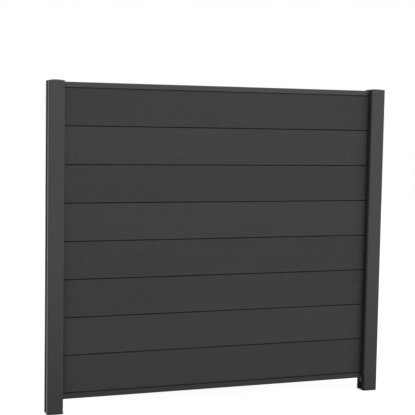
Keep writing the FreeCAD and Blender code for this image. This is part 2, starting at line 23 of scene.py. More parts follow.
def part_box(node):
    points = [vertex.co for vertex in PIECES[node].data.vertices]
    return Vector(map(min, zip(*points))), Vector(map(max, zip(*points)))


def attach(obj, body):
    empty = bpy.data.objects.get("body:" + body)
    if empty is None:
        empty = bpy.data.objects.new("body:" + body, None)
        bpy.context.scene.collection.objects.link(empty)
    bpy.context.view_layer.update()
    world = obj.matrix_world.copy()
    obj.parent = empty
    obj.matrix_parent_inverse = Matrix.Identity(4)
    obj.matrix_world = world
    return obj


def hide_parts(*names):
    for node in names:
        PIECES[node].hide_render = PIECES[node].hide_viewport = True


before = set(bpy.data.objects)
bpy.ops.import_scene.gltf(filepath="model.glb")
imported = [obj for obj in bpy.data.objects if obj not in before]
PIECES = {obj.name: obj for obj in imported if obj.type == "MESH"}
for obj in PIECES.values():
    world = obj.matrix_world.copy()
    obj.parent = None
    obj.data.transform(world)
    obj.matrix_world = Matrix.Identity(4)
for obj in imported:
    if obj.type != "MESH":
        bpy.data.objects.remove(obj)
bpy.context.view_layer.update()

MM = 0.001
BOARDS = sorted(name for name in PIECES if name.startswith("board_"))
print("loaded %d pieces, %d of them boards" % (len(PIECES), len(BOARDS)))


# %% [markdown]
# ## The camera
#
# The photograph was taken from the left of the screen with a long lens. Its place was found
# by matching the corners of the posts and the joints between the boards. A camera could be
# turned towards its subject with a tracking constraint, but three plain angles say more about
# how the picture was taken, so they are written down: how far the camera is turned to the
# side, how far it looks down, and how far it leans.

# %% Camera
PHOTO_WIDTH_PX = 415
FOCAL_LENGTH_PX = 1056.8
SENSOR_MM = 36.0
CAMERA_PLACE = Vector((-2.1165, -5.5965, 1.58))
CAMERA_TURN = math.radians(-19.937)
CAMERA_TILT = math.radians(-4.484)
CAMERA_LEAN = math.radians(-0.992)

lens = bpy.data.cameras.new("photo_camera")
lens.sensor_width = SENSOR_MM
lens.lens = FOCAL_LENGTH_PX / PHOTO_WIDTH_PX * SENSOR_MM
lens.clip_end = 100.0
camera = bpy.data.objects.new("photo_camera", lens)
upright = Matrix.Rotation(math.pi / 2, 4, "X")
aim = (Matrix.Rotation(CAMERA_TURN, 4, "Z") @ Matrix.Rotation(CAMERA_TILT, 4, "X")
       @ Matrix.Rotation(CAMERA_LEAN, 4, "Y"))
camera.matrix_world = Matrix.Translation(CAMERA_PLACE) @ aim @ upright
bpy.context.scene.collection.objects.link(camera)
bpy.context.scene.camera = camera
print("lens %.1f mm, camera %.2f m away" % (lens.lens, CAMERA_PLACE.length))


# %% [markdown]
# ## Small helpers for shader work
#
# A shader is a small machine of nodes and wires, and so is a rule that makes shapes. Building
# one by hand means a dozen lines for each node, so a few helpers keep the later cells short:
# one adds a node and fills in its settings, one starts a material, and one starts a group of
# nodes that several materials share. The rest are short names for the sums used most.

# %% Shader helpers
def feed(tree, node, inputs):
    """Fill in a node's inputs, by name or number, each with a value or another node's output."""
    for key, value in inputs.items():
        if isinstance(value, bpy.types.NodeSocket):
            tree.links.new(value, node.inputs[key])
        else:
            node.inputs[key].default_value = value


def add_node(tree, kind, inputs=None, **settings):
    """Add a node with its settings and its inputs."""
    node = tree.nodes.new(kind)
    for name, value in settings.items():
        setattr(node, name, value)
    feed(tree, node, inputs or {})
    return node


def grey(level, warmth=0.0):
    """A nearly neutral colour: a positive warmth leans it towards brown, a negative one to blue."""
    return (level * (1 + warmth), level, level * (1 - warmth), 1.0)


def start_material(name, **surface):
    """A material with one Principled shader, whose plain values are given by socket name."""
    material = bpy.data.materials.new(name)
    material.use_nodes = True
    tree = material.node_tree
    shader = tree.nodes["Principled BSDF"]
    for socket, value in surface.items():
        shader.inputs[socket.replace("_", " ")].default_value = value
    return material, tree, shader


def start_group(name, inputs, outputs):
    """A shader group with named inputs, numbers or vectors, and typed outputs."""
    group = bpy.data.node_groups.new(name, "ShaderNodeTree")
    for label, value in inputs.items():
        kind = "NodeSocketVector" if isinstance(value, tuple) else "NodeSocketFloat"
        socket = group.interface.new_socket(name=label, in_out="INPUT", socket_type=kind)
        socket.default_value = value
    for label, kind in outputs.items():
        group.interface.new_socket(name=label, in_out="OUTPUT", socket_type=kind)
    return group, group.nodes.new("NodeGroupInput"), group.nodes.new("NodeGroupOutput")


def mask(tree, group, **inputs):
    """Put a shared effect into a material, and give its mask."""
    node = tree.nodes.new("ShaderNodeGroup")
    node.node_tree = group
    feed(tree, node, inputs)
    return node.outputs["Mask"]


def mix_colours(tree, factor, first, second):
    """The first colour at factor zero and the second at factor one."""
    return add_node(tree, "ShaderNodeMix", {0: factor, 6: first, 7: second}, data_type="RGBA").outputs[2]


def do_sum(tree, operation, *values, clamp=False):
    """One sum on numbers that vary over the surface."""
    return add_node(tree, "ShaderNodeMath", dict(enumerate(values)), operation=operation,
                    use_clamp=clamp).outputs[0]


def spread(tree, value, low, high, to_low=0.0, to_high=1.0):
    """Stretch a range of values over another one, clamped at both ends."""
    node = add_node(tree, "ShaderNodeMapRange", {"Value": value, "From Min": low, "From Max": high,
                                                 "To Min": to_low, "To Max": to_high})
    return node.outputs["Result"]


print("helpers ready")


# %% [markdown]
# ## Effects that several finishes share
#
# Every surface of the screen has a grain of its own, edges that are a little paler, and joints
# and inner corners darkened with painted shade and dirt. Each effect is one group, built once,
# with its sizes as inputs, so that a board can ask for long fibres and a post for fine speckle
# from the same group.
#
# Edge wear could be painted by hand. Here the surface is compared with a rounded version of
# itself instead: where the two directions differ there is an edge, whatever the shape. The
# corner group works in the opposite way. It asks how much open air a place can see within a
# short reach, and paints shade and dirt where it sees little.
#
# The photograph also gets darker towards the ground. Below the rail, the inner side of the
# right post is nearly black in its slot and gets paler towards its front edge. On a clean
# screen that is most likely plain shade, and a photographer would make it with the lights.
# Here that shade is a guess painted into the colour, as thin dark layers, because the light is
# kept plain. The painted shade is even, so near that front edge it is darker than the
# photograph. The left post gets the same painted shade, although its inner side isn't seen. The
# price is that the painted shade stays on the pieces under any other light, as dirt would.

# %% Shared effects
def build_grain():
    """A soft noise from 0 to 1, stretched along the axes of the piece, as a mask or as a height."""
    group, given, result = start_group(
        "grain", {"Stretch": (1.0, 1.0, 1.0), "Scale": 100.0, "Detail": 2.0, "Shift": 0.0},
        {"Mask": "NodeSocketFloat"})
    place = add_node(group, "ShaderNodeTexCoord").outputs["Object"]
    stretched = add_node(group, "ShaderNodeVectorMath", {0: place, 1: given.outputs["Stretch"]},
                         operation="MULTIPLY").outputs[0]
    shifted = add_node(group, "ShaderNodeVectorMath", {0: stretched, 1: given.outputs["Shift"]},
                       operation="ADD").outputs[0]
    noise = add_node(group, "ShaderNodeTexNoise", {
        "Vector": shifted, "Scale": given.outputs["Scale"], "Detail": given.outputs["Detail"],
        "Roughness": 0.55})
    group.links.new(spread(group, noise.outputs[0], 0.25, 0.75), result.inputs["Mask"])
    return group


def build_edge_wear():
    """White along the edges, broken up by a noise, and black on the open faces."""
    group, given, result = start_group(
        "edge_wear", {"Width": 0.0015, "Strength": 0.5}, {"Mask": "NodeSocketFloat"})
    rounded = add_node(group, "ShaderNodeBevel", {"Radius": given.outputs["Width"]}, samples=4)
    true_face = add_node(group, "ShaderNodeNewGeometry").outputs["True Normal"]
    likeness = add_node(group, "ShaderNodeVectorMath", {0: rounded.outputs[0], 1: true_face},
                        operation="DOT_PRODUCT").outputs["Value"]
    edge = spread(group, likeness, 0.98, 0.82)
    place = add_node(group, "ShaderNodeTexCoord").outputs["Object"]
    noise = add_node(group, "ShaderNodeTexNoise", {"Vector": place, "Scale": 55.0, "Detail": 3.0})
    patches = spread(group, noise.outputs[0], 0.42, 0.62, 0.25, 1.0)
    worn = do_sum(group, "MULTIPLY", edge, patches)
    group.links.new(do_sum(group, "MULTIPLY", worn, given.outputs["Strength"], clamp=True),
                    result.inputs["Mask"])
    return group


# Painted shade with dirt: this mask darkens the colour in joints and inner corners, where shade falls.
def build_corner_dirt_and_shade():
    """White where the surface can see little of the open air, such as in joints and inner corners: the
    mask for painted shade and dirt there.
    """
    group, given, result = start_group(
        "corner_dirt_and_shade", {"Reach": 0.02, "Strength": 0.8}, {"Mask": "NodeSocketFloat"})
    air = add_node(group, "ShaderNodeAmbientOcclusion", {"Distance": given.outputs["Reach"]}, samples=8)
    closed_in = spread(group, air.outputs["AO"], 0.92, 0.40)
    group.links.new(do_sum(group, "MULTIPLY", closed_in, given.outputs["Strength"], clamp=True),
                    result.inputs["Mask"])
    return group


# Painted shade: a darker colour towards the ground, where the screen stands in shade.
def build_painted_ground_shade():
    """White at the ground and fading out upwards: the mask for shade painted on the foot of the screen.
    """
    group, given, result = start_group(
        "painted_ground_shade", {"Height": 0.9, "Strength": 0.4}, {"Mask": "NodeSocketFloat"})
    place = add_node(group, "ShaderNodeTexCoord").outputs["Object"]
    height = add_node(group, "ShaderNodeSeparateXYZ", {0: place}).outputs["Z"]
    share = do_sum(group, "DIVIDE", height, given.outputs["Height"])
    fade = do_sum(group, "POWER", spread(group, share, 0.0, 1.0, 1.0, 0.0), 1.4)
    noise = add_node(group, "ShaderNodeTexNoise", {"Vector": place, "Scale": 9.0, "Detail": 4.0})
    uneven = do_sum(group, "MULTIPLY", fade, spread(group, noise.outputs[0], 0.3, 0.7, 0.85, 1.1))
    group.links.new(do_sum(group, "MULTIPLY", uneven, given.outputs["Strength"], clamp=True),
                    result.inputs["Mask"])
    return group


# Painted shade: a darker colour on the posts' inner sides below the rail, where they stand in shade.
def build_painted_inner_shade():
    """White on the posts' inner sides, from the ground up to the bottom rail: the mask for shade painted
    there.
    """
    group, given, result = start_group(
        "painted_inner_shade", {"Height": 0.1, "Strength": 0.8}, {"Mask": "NodeSocketFloat"})
    place = add_node(group, "ShaderNodeTexCoord").outputs["Object"]
    place_parts = add_node(group, "ShaderNodeSeparateXYZ", {0: place}).outputs
    facing = add_node(group, "ShaderNodeNewGeometry").outputs["True Normal"]
    sideways = add_node(group, "ShaderNodeSeparateXYZ", {0: facing}).outputs["X"]
    side = do_sum(group, "SIGN", place_parts["X"])
    inwards = do_sum(group, "MULTIPLY", do_sum(group, "MULTIPLY", side, sideways), -1.0, clamp=True)
    room_above = do_sum(group, "SUBTRACT", given.outputs["Height"], place_parts["Z"])
    below = spread(group, room_above, 0.0, 10.0 * MM)
    inner_shaded = do_sum(group, "MULTIPLY", inwards, below)
    group.links.new(do_sum(group, "MULTIPLY", inner_shaded, given.outputs["Strength"], clamp=True),
                    result.inputs["Mask"])
    return group


GRAIN = build_grain()
EDGE_WEAR = build_edge_wear()
CORNER_DIRT_AND_SHADE = build_corner_dirt_and_shade()
PAINTED_GROUND_SHADE = build_painted_ground_shade()
PAINTED_INNER_SHADE = build_painted_inner_shade()
SHARED = (GRAIN, EDGE_WEAR, CORNER_DIRT_AND_SHADE, PAINTED_GROUND_SHADE, PAINTED_INNER_SHADE)
print("shared effects:", [group.name for group in SHARED])


# %% [markdown]
# ## Powder-coated aluminium
#
# The posts and the rails are extruded aluminium with a baked powder coat. Seen close, powder
# never flows out quite flat. It leaves a skin like orange peel, about a millimetre across, and
# a fine speckle in its gloss. The colour itself is almost even, so most of the character is in
# the height and the gloss, and only a little is in the colour.
#
# Edges are a shade paler, because powder draws back from a corner while it melts. Two layers of
# painted shade go on top: one that fades out upwards, and one on the inner sides below the rail.
# The same recipe is mixed twice, as a lit and a shaded copy. The bottom rail gets the shaded
# copy, with more painted shade towards the ground and less painted shade and dirt in its corners
# than the posts and the top rail, because in the photograph its face is duller than theirs, and
# the line above it is faint.

# %% Powder coat
# The colour of painted shade and dirt: the corner masks lay it as both, the ground and inner masks and
# the shade beside the posts as painted shade only.
DIRT_AND_SHADE_COLOUR = grey(0.006, 0.03)
BLUE_TRACE = 1.035
COAT_DARK = 0.037
COAT_LIGHT = 0.042
COAT_SPECKLE = 0.054
COAT_EDGE = 0.11


def anthracite(level):
    """The grey of the coat, with a trace more blue than red and green."""
    return (level, level, level * BLUE_TRACE, 1.0)


def finish_powder_coat(name, ground_shade_strength, dirt_and_shade_strength):
    """Anthracite powder with a fine peel, paler edges, and painted shade: in the corners with dirt,
    towards the ground and on the inner sides.
    """
    material, tree, shader = start_material(name, Specular_IOR_Level=0.25)
    peel = mask(tree, GRAIN, Scale=850.0, Detail=1.0)
    cloud = mask(tree, GRAIN, Scale=6.0, Detail=3.0, Shift=3.0)
    die_lines = mask(tree, GRAIN, Stretch=(1.0, 1.0, 0.004), Scale=420.0)
    worn = mask(tree, EDGE_WEAR, Width=1.2 * MM, Strength=0.35)
    dirt_and_shade_mask = mask(tree, CORNER_DIRT_AND_SHADE, Reach=25.0 * MM, Strength=dirt_and_shade_strength)
    ground_shade_mask = mask(tree, PAINTED_GROUND_SHADE, Strength=ground_shade_strength)
    inner = mask(tree, PAINTED_INNER_SHADE, Strength=0.8)
    coat = mix_colours(tree, cloud, anthracite(COAT_DARK), anthracite(COAT_LIGHT))
    speckled = mix_colours(tree, do_sum(tree, "MULTIPLY", peel, 0.25), coat, anthracite(COAT_SPECKLE))
    edged = mix_colours(tree, worn, speckled, anthracite(COAT_EDGE))
    # Painted shade: the coat darkens towards the ground, on the inner sides below the rail, and in the
    # corners, where it stands for dirt as well.
    with_painted_shade = mix_colours(tree, ground_shade_mask, edged, DIRT_AND_SHADE_COLOUR)
    inner_shaded = mix_colours(tree, inner, with_painted_shade, DIRT_AND_SHADE_COLOUR)
    tree.links.new(mix_colours(tree, dirt_and_shade_mask, inner_shaded, DIRT_AND_SHADE_COLOUR), shader.inputs["Base Color"])
    dulled = do_sum(tree, "ADD", do_sum(tree, "MULTIPLY", dirt_and_shade_mask, 0.4),
                    do_sum(tree, "MULTIPLY", inner, 0.8))
    gloss = do_sum(tree, "ADD", spread(tree, peel, 0.0, 1.0, 0.38, 0.50), dulled, clamp=True)
    tree.links.new(gloss, shader.inputs["Roughness"])
    lines = add_node(tree, "ShaderNodeBump", {"Height": die_lines, "Strength": 0.10,
                                              "Distance": 0.05 * MM})
    skin = add_node(tree, "ShaderNodeBump", {"Height": peel, "Strength": 0.35, "Distance": 0.06 * MM,
                                             "Normal": lines.outputs[0]})
    tree.links.new(skin.outputs[0], shader.inputs["Normal"])
    return material


POWDER_COAT = finish_powder_coat("powder_coat", ground_shade_strength=0.5, dirt_and_shade_strength=0.75)
# The shaded copy of the coat, for the bottom rail: more painted shade towards the ground and less in the
# corners.
SHADED_POWDER_COAT = finish_powder_coat("powder_coat_shaded_copy", ground_shade_strength=0.75, dirt_and_shade_strength=0.1)
print("made", POWDER_COAT.name, SHADED_POWDER_COAT.name)


# %% [markdown]
# ## Composite boards
#
# The boards are wood flour bound in plastic, pressed through a die and then brushed along
# their length. Brushing leaves three things to see. There are fine scratches that run the
# whole way, short pale and dark wood fibres that lie with them, and wide soft bands where the
# brush pressed harder. All of them run along X, so the same grain group serves three times
# with three stretches.
#
# No two boards of a pack have quite the same shade. Each board gets its own copy of the
# finish, with a tone of its own and the grain shifted, so that no pattern carries on from one
# board to the next. The tones were set by comparing each board with the photograph.
#
# The corner group serves twice. With a short reach it darkens the joints, as painted shade and
# dirt together. With a longer one, about a hand's breadth, it paints shade on the boards beside
# the posts, and the nearer to the ground the more, as the photograph does. That second use is
# painted shade only, part of the same guess as the two layers of painted shade on the posts.
# The lowest board has less in its joints than the others, because the line that the photograph
# shows above the bottom rail is faint.

# %% Board finish
BOARD_TONES = (0.92, 1.0, 0.97, 0.98, 1.06, 0.98, 1.06, 0.98)
BOARD_DARK = 0.030
BOARD_LIGHT = 0.037
BOARD_CLOUD = 0.041
BOARD_SCRATCH = 0.046
PALE_FIBRE = 0.080
DARK_FIBRE = 0.016
BOARD_EDGE = 0.08
FAINT_JOINT = 0.4
PATTERN_STEP = 7.31


def finish_board(number, tone, joint_dirt_and_shade=0.9):
    """Brushed composite in one board's own tone, with its own place in the pattern."""
    material, tree, shader = start_material("composite_board_%d" % number, Specular_IOR_Level=0.22)
    shift = PATTERN_STEP * number
    scratches = mask(tree, GRAIN, Stretch=(0.012, 1.0, 1.0), Scale=1300.0, Detail=3.0,
                     Shift=shift)
    bands = mask(tree, GRAIN, Stretch=(0.05, 1.0, 1.0), Scale=46.0, Detail=4.0,
                 Shift=shift + 2.0)
    fibres = mask(tree, GRAIN, Stretch=(0.06, 1.0, 1.0), Scale=620.0, Detail=0.0,
                  Shift=shift + 4.0)
    clouds = mask(tree, GRAIN, Stretch=(0.5, 1.0, 1.0), Scale=4.0, Detail=2.0,
                  Shift=shift + 6.0)
    worn = mask(tree, EDGE_WEAR, Width=1.0 * MM, Strength=0.3)
    # Painted shade and dirt in the joints.
    dirt_and_shade_mask = mask(tree, CORNER_DIRT_AND_SHADE, Reach=12.0 * MM, Strength=joint_dirt_and_shade)
    low_down = mask(tree, PAINTED_GROUND_SHADE, Height=1.6, Strength=0.85)
    # Painted shade beside the posts, stronger nearer the ground.
    shade_beside_posts = mask(tree, CORNER_DIRT_AND_SHADE, Reach=80.0 * MM, Strength=low_down)

    ground = mix_colours(tree, bands, grey(BOARD_DARK * tone), grey(BOARD_LIGHT * tone))
    clouded = mix_colours(tree, do_sum(tree, "MULTIPLY", clouds, 0.35), ground,
                          grey(BOARD_CLOUD * tone))
    brushed = mix_colours(tree, do_sum(tree, "MULTIPLY", scratches, 0.45), clouded,
                          grey(BOARD_SCRATCH * tone))
    pale_fibre = spread(tree, fibres, 0.86, 1.0, 0.0, 0.22)
    dark_fibre = spread(tree, fibres, 0.16, 0.0, 0.0, 0.30)
    flecked = mix_colours(tree, pale_fibre, brushed, grey(PALE_FIBRE * tone, 0.03))
    shaded = mix_colours(tree, dark_fibre, flecked, grey(DARK_FIBRE * tone))
    edged = mix_colours(tree, worn, shaded, grey(BOARD_EDGE, 0.01))
    # Painted shade: the boards darken beside the posts, then in the joints, where it stands for dirt as
    # well.
    with_painted_shade = mix_colours(tree, shade_beside_posts, edged, DIRT_AND_SHADE_COLOUR)
    tree.links.new(mix_colours(tree, dirt_and_shade_mask, with_painted_shade, DIRT_AND_SHADE_COLOUR), shader.inputs["Base Color"])

    gloss = do_sum(tree, "SUBTRACT", 0.84, do_sum(tree, "MULTIPLY", scratches, 0.16))
    tree.links.new(gloss, shader.inputs["Roughness"])
    waves = add_node(tree, "ShaderNodeBump", {"Height": bands, "Strength": 0.12, "Distance": 0.4 * MM})
    nap = add_node(tree, "ShaderNodeBump", {"Height": scratches, "Strength": 0.5, "Distance": 0.12 * MM,
                                            "Normal": waves.outputs[0]})
    tree.links.new(nap.outputs[0], shader.inputs["Normal"])
    return material


BOARD_FINISHES = [finish_board(1, BOARD_TONES[0], joint_dirt_and_shade=FAINT_JOINT)]
BOARD_FINISHES += [finish_board(number, tone) for number, tone in enumerate(BOARD_TONES[1:], start=2)]
print("made %d board finishes" % len(BOARD_FINISHES))


# %% [markdown]
# ## Moulded plastic, rubber and blackened steel
#
# The caps and the blocks under the bottom rail are moulded plastic. The mould was spark
# eroded, which leaves an even, pebbly grain of about half a millimetre. The caps are grey to
# match the posts. The photograph shows no block, only a nearly black slot where one would
# stand, so the blocks are a guess and are black. Their near black is plastic and painted shade
# at once: it stands for the shade in the slot. The seals are guessed too, as extruded rubber,
# very dark and almost without gloss.
#
# The photograph shows no screw either. One head would show in the right post's slot, about a
# pixel wide, and there is no bright spot there. So the screws are taken to be stainless steel
# with a thin black coating. The screwdriver and the hole rub it thin, first on the crests of
# the thread and on the rim of the head, and the steel shows through there. The coating and the
# bare steel differ in their metal value as well as in colour, so one mask drives both.

# %% Plastic, rubber and steel
def finish_plastic(name, low, high, wear):
    """Moulded plastic with a pebbly grain, between two levels of grey."""
    material, tree, shader = start_material(name, Specular_IOR_Level=0.4)
    pebbles = mask(tree, GRAIN, Scale=1500.0, Detail=1.0)
    bloom = mask(tree, GRAIN, Scale=30.0, Detail=3.0, Shift=5.0)
    worn = mask(tree, EDGE_WEAR, Width=1.0 * MM, Strength=wear)
    body = mix_colours(tree, bloom, grey(low), grey(high))
    tree.links.new(mix_colours(tree, worn, body, grey(0.07)), shader.inputs["Base Color"])
    tree.links.new(spread(tree, pebbles, 0.0, 1.0, 0.48, 0.62), shader.inputs["Roughness"])
    skin = add_node(tree, "ShaderNodeBump", {"Height": pebbles, "Strength": 0.4, "Distance": 0.05 * MM})
    tree.links.new(skin.outputs[0], shader.inputs["Normal"])
    return material


def finish_rubber():
    """Extruded black rubber, with a little chalky bloom."""
    material, tree, shader = start_material("black_rubber", Specular_IOR_Level=0.3)
    drawn = mask(tree, GRAIN, Stretch=(1.0, 1.0, 0.02), Scale=900.0, Detail=1.0)
    chalk = mask(tree, GRAIN, Scale=70.0, Detail=4.0, Shift=8.0)
    tree.links.new(mix_colours(tree, chalk, grey(0.009), grey(0.019)), shader.inputs["Base Color"])
    tree.links.new(spread(tree, chalk, 0.0, 1.0, 0.68, 0.85), shader.inputs["Roughness"])
    skin = add_node(tree, "ShaderNodeBump", {"Height": drawn, "Strength": 0.3, "Distance": 0.05 * MM})
    tree.links.new(skin.outputs[0], shader.inputs["Normal"])
    return material


def finish_stainless():
    """Steel under a thin black coating, which is rubbed off along the edges."""
    material, tree, shader = start_material("blackened_steel", Specular_IOR_Level=0.3)
    haze = mask(tree, GRAIN, Scale=700.0, Detail=2.0)
    uneven = mask(tree, GRAIN, Scale=160.0, Detail=2.0, Shift=9.0)
    rubbed = mask(tree, EDGE_WEAR, Width=0.25 * MM, Strength=0.45)
    black = mix_colours(tree, uneven, grey(0.018), grey(0.030, 0.02))
    tree.links.new(mix_colours(tree, rubbed, black, grey(0.42, 0.02)), shader.inputs["Base Color"])
    tree.links.new(rubbed, shader.inputs["Metallic"])
    tree.links.new(spread(tree, haze, 0.0, 1.0, 0.34, 0.52), shader.inputs["Roughness"])
    skin = add_node(tree, "ShaderNodeBump", {"Height": haze, "Strength": 0.2, "Distance": 0.02 * MM})
    tree.links.new(skin.outputs[0], shader.inputs["Normal"])
    return material


PLASTIC = finish_plastic("cap_plastic", low=0.020, high=0.028, wear=0.35)
# The blocks' near black is plastic and painted shade at once: it stands for the shade in the slot.
SUPPORT_PLASTIC_AND_SLOT_SHADE = finish_plastic("support_plastic_and_slot_shade", low=0.005, high=0.009, wear=0.1)
RUBBER = finish_rubber()
STAINLESS = finish_stainless()
print("made", PLASTIC.name, SUPPORT_PLASTIC_AND_SLOT_SHADE.name, RUBBER.name, STAINLESS.name)


# %% [markdown]
# ## Every loaded piece gets its finish
#
# The loaded pieces stay exactly where they are and keep their shape. Only the material in
# their slot is changed. A small table says which finish goes with which piece. The screws are
# missing from it on purpose, because the next cell makes them anew.

# %% Dress the loaded pieces
def dress(name, material):
    """Put one finish on a loaded piece, in place of the one it came with."""
    mesh = PIECES[name].data
    mesh.materials.clear()
    mesh.materials.append(material)


# The bottom rail takes the shaded copy of the powder coat, with more painted shade.
FINISH_OF = {"left_post": POWDER_COAT, "right_post": POWDER_COAT, "top_rail": POWDER_COAT,
             "bottom_rail": SHADED_POWDER_COAT, "left_post_cap": PLASTIC, "right_post_cap": PLASTIC,
             "left_rail_support": SUPPORT_PLASTIC_AND_SLOT_SHADE, "right_rail_support": SUPPORT_PLASTIC_AND_SLOT_SHADE}
for seal in (name for name in PIECES if name.endswith("_seal")):
    FINISH_OF[seal] = RUBBER
for board, finish in zip(BOARDS, BOARD_FINISHES):
    FINISH_OF[board] = finish
for name, finish in FINISH_OF.items():
    dress(name, finish)
print("dressed %d of %d pieces" % (len(FINISH_OF), len(PIECES)))


# %% [markdown]
# ## Screws with real threads
#
# Four countersunk screws come through the back of the posts and lock the ends of the two
# rails. Two more hold the blocks under the bottom rail. Their number, places and kind are a
# guess, because the photograph shows only the front. Each is a self-tapping screw: a flat head
# with a six-lobed drive, a thin core, a sharp thread with a wide root between its turns, and a
# tip that runs out to a point.
#
# All six are the same shape in two lengths, so the shape is written once as a rule. The rule
# takes a flat sheet of small squares and rolls it round an axis. Going along the sheet, the
# rows draw the floor of the drive, its wall, the flat of the head, the cone, and then the
# thread. The thread's rows are slanted, so that one row always lies exactly on the crest. When
# the sheet is rolled up, the slant makes row one meet row seven, which closes the thread into
# one unbroken spiral without any cutting or joining of bodies.
#
# A drawn profile swept along a spiral would be the usual way. It leaves the start and the tip
# of the thread open, and those two places are what one sees of a screw.

# %% Screw rule
SIDES_AROUND = 48
ROWS_PER_TURN = 6.0
HEAD_ROWS = 4.0
LOBE_COUNT = 6
LOBE_SWING = 0.13
CREST_HALF_WIDTH = 0.3
NECK_LENGTH = 0.6 * MM
HEAD_RADIUS = 4.0 * MM
SCREW_SIZES = {"Length": 30.0 * MM, "Radius": 2.0 * MM, "Core": 1.45 * MM, "Pitch": 1.4 * MM,
               "Tip": 3.0 * MM, "Head Radius": HEAD_RADIUS, "Head Depth": 2.0 * MM,
               "Drive Radius": 1.6 * MM, "Drive Depth": 1.6 * MM}
SPIN_SEED = 11
WELD_DISTANCE = 0.001 * MM
SHARP_EDGE = math.radians(32.0)


def one_of(tree, index, choices):
    """The choice whose turn it is; the last one serves for every higher index."""
    last = do_sum(tree, "MINIMUM", index, float(len(choices) - 1))
    node = tree.nodes.new("GeometryNodeIndexSwitch")
    node.data_type = "FLOAT"
    while len(node.index_switch_items) < len(choices):
        node.index_switch_items.new()
    feed(tree, node, {"Index": last, **dict(enumerate(choices, start=1))})
    return node.outputs[0]


def screw_sheet(tree, given):
    """The flat sheet, and where each of its points lies: a share of a turn and a row number."""
    threaded = do_sum(tree, "SUBTRACT", given["Length"], given["Head Depth"])
    turns = do_sum(tree, "ADD", do_sum(tree, "DIVIDE", threaded, given["Pitch"]), 1.0)
    turn_rows = do_sum(tree, "MULTIPLY", turns, ROWS_PER_TURN)
    rows = do_sum(tree, "CEIL", do_sum(tree, "ADD", turn_rows, HEAD_ROWS + 2.0))
    sheet = add_node(tree, "GeometryNodeMeshGrid", {
        "Size X": 1.0, "Size Y": 1.0, "Vertices X": SIDES_AROUND + 1, "Vertices Y": rows})
    place = add_node(tree, "GeometryNodeInputPosition").outputs[0]
    flat = add_node(tree, "ShaderNodeSeparateXYZ", {0: place}).outputs
    turn_share = do_sum(tree, "ADD", flat["X"], 0.5)
    row_share = do_sum(tree, "ADD", flat["Y"], 0.5)
    last_row = do_sum(tree, "SUBTRACT", rows, 1.0)
    row = do_sum(tree, "ROUND", do_sum(tree, "MULTIPLY", row_share, last_row))
    return sheet.outputs["Mesh"], turn_share, row


def screw_depth(tree, given, turn_share, row):
    """How deep below the flat of the head each row lies."""
    turn = do_sum(tree, "DIVIDE", do_sum(tree, "SUBTRACT", row, HEAD_ROWS), ROWS_PER_TURN)
    slanted = do_sum(tree, "SUBTRACT", do_sum(tree, "ADD", turn, turn_share), 1.0)
    below_head = do_sum(tree, "MAXIMUM", do_sum(tree, "MULTIPLY", slanted, given["Pitch"]), 0.0)
    from_top = do_sum(tree, "ADD", below_head, given["Head Depth"])
    deep = do_sum(tree, "MINIMUM", from_top, given["Length"])
    drive = given["Drive Depth"]
    return one_of(tree, row, [drive, drive, 0.0, 0.0, deep]), turn, deep


def screw_radius(tree, given, turn_share, row, turn, deep):
    """How far each row lies from the axis: the drive's lobes, the head, and the thread."""
    lobes = do_sum(tree, "COSINE", do_sum(tree, "MULTIPLY", turn_share, LOBE_COUNT * math.tau))
    lobe_share = do_sum(tree, "MULTIPLY_ADD", lobes, LOBE_SWING, 1.0 - LOBE_SWING)
    drive = do_sum(tree, "MULTIPLY", given["Drive Radius"], lobe_share)

    off_crest = do_sum(tree, "ABSOLUTE", do_sum(tree, "SUBTRACT", do_sum(tree, "FRACT", turn), 0.5))
    ridge = spread(tree, off_crest, 0.0, CREST_HALF_WIDTH, 1.0, 0.0)
    below_head = do_sum(tree, "SUBTRACT", deep, given["Head Depth"])
    grown = do_sum(tree, "DIVIDE", below_head, given["Pitch"], clamp=True)
    stands_out = do_sum(tree, "SUBTRACT", given["Radius"], given["Core"])
    height = do_sum(tree, "MULTIPLY", stands_out, do_sum(tree, "MULTIPLY", ridge, grown))
    neck = spread(tree, below_head, 0.0, NECK_LENGTH, 1.0, 0.0)
    core = do_sum(tree, "MULTIPLY_ADD", neck, stands_out, given["Core"])
    whole = do_sum(tree, "MINIMUM", do_sum(tree, "ADD", core, height), given["Radius"])
    to_the_tip = do_sum(tree, "SUBTRACT", given["Length"], deep)
    taper = do_sum(tree, "DIVIDE", to_the_tip, given["Tip"], clamp=True)
    shank = do_sum(tree, "MULTIPLY", whole, taper)
    return one_of(tree, row, [0.0, drive, drive, given["Head Radius"], shank])


def roll_up(tree, sheet, turn_share, depth, radius):
    """Bend the sheet round the axis, weld its seam and its ends, and keep only real edges sharp."""
    angle = do_sum(tree, "MULTIPLY", turn_share, math.tau)
    across = do_sum(tree, "MULTIPLY", do_sum(tree, "COSINE", angle), radius)
    along = do_sum(tree, "MULTIPLY", do_sum(tree, "SINE", angle), radius)
    place = add_node(tree, "ShaderNodeCombineXYZ", {"X": across, "Y": along, "Z": depth})
    rolled = add_node(tree, "GeometryNodeSetPosition", {"Geometry": sheet, "Position": place.outputs[0]})
    welded = add_node(tree, "GeometryNodeMergeByDistance", {
        "Geometry": rolled.outputs[0], "Distance": WELD_DISTANCE})
    soft = add_node(tree, "GeometryNodeSetShadeSmooth", {
        "Geometry": welded.outputs[0], "Shade Smooth": True}, domain="FACE")
    bend = add_node(tree, "GeometryNodeInputMeshEdgeAngle").outputs["Unsigned Angle"]
    sharp = add_node(tree, "FunctionNodeCompare", {"A": bend, "B": SHARP_EDGE},
                     data_type="FLOAT", operation="GREATER_THAN")
    edged = add_node(tree, "GeometryNodeSetShadeSmooth", {
        "Geometry": soft.outputs[0], "Selection": sharp.outputs[0],
        "Shade Smooth": False}, domain="EDGE")
    return edged.outputs[0]


